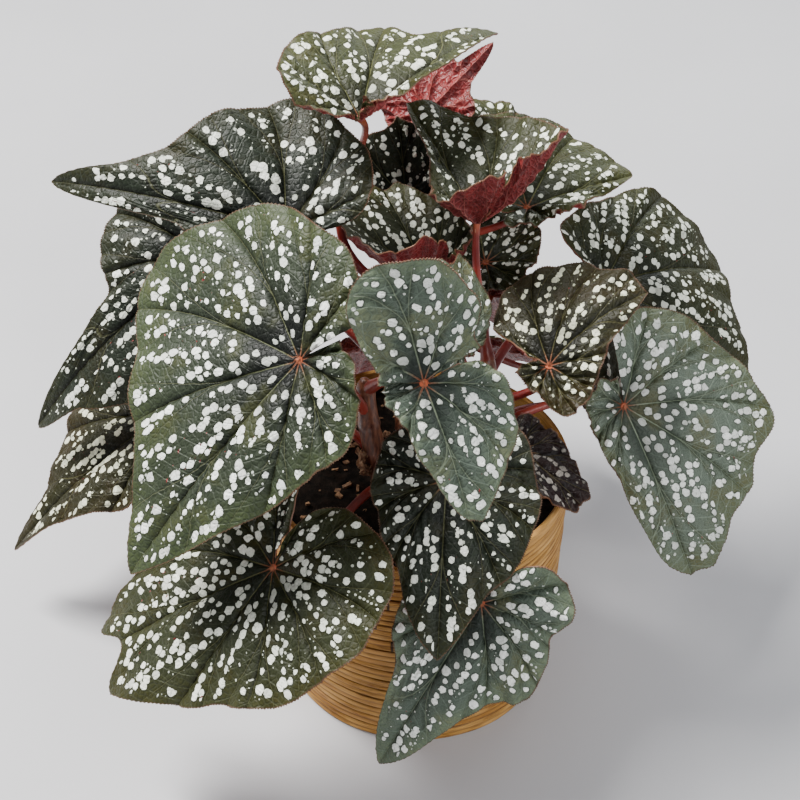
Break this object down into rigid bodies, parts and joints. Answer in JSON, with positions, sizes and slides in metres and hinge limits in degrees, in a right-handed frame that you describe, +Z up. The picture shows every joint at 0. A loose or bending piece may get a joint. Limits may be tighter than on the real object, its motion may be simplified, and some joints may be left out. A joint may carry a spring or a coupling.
{
  "type": "potted plant",
  "caption": "Potted begonia with broad, pointed, silver-spotted leaves on red stalks, growing from soil in a ribbed round wooden basket.",
  "frame": {"origin": "centre of the basket's flat underside, on the basket's axis", "axes": "+Z up along the basket's axis, -Y towards the picture's camera, +X to the picture's right"},
  "size_m": [0.4756, 0.3733, 0.3753],
  "materials": {
    "basket_wood": "satin",
    "liner_plastic": "matte",
    "soil_mix": "matte",
    "stem_skin": "satin",
    "leaf_sage": "satin",
    "leaf_mid": "satin",
    "leaf_dark": "satin",
    "leaf_maroon": "satin",
    "stipule_paper": "matte"
  },
  "bodies": {
    "root": {"basket": "basket_wood", "liner": "liner_plastic", "soil": "soil_mix", "stem_a": "stem_skin", "stem_b": "stem_skin", "stem_c": "stem_skin", "leaf_01": "leaf_mid", "leaf_02": "leaf_mid", "leaf_03": "leaf_dark", "leaf_04": "leaf_dark", "leaf_05": "leaf_dark", "leaf_06": "leaf_dark", "leaf_07": "leaf_dark", "leaf_08": "leaf_mid", "leaf_09": "leaf_dark", "leaf_10": "leaf_sage", "leaf_11": "leaf_dark", "leaf_12": "leaf_sage", "leaf_13": "leaf_mid", "leaf_14": "leaf_sage", "leaf_15": "leaf_mid", "leaf_16": "leaf_mid", "leaf_17": "leaf_dark", "leaf_18": "leaf_dark", "leaf_19": "leaf_sage", "leaf_20": "leaf_dark", "leaf_21": "leaf_maroon", "leaf_22": "leaf_mid", "leaf_23": "leaf_dark", "leaf_24": "leaf_mid", "leaf_25": "leaf_dark", "leaf_26": "leaf_mid", "stipule_1": "stipule_paper", "stipule_2": "stipule_paper", "stipule_3": "stipule_paper"}
  },
  "joints": []
}
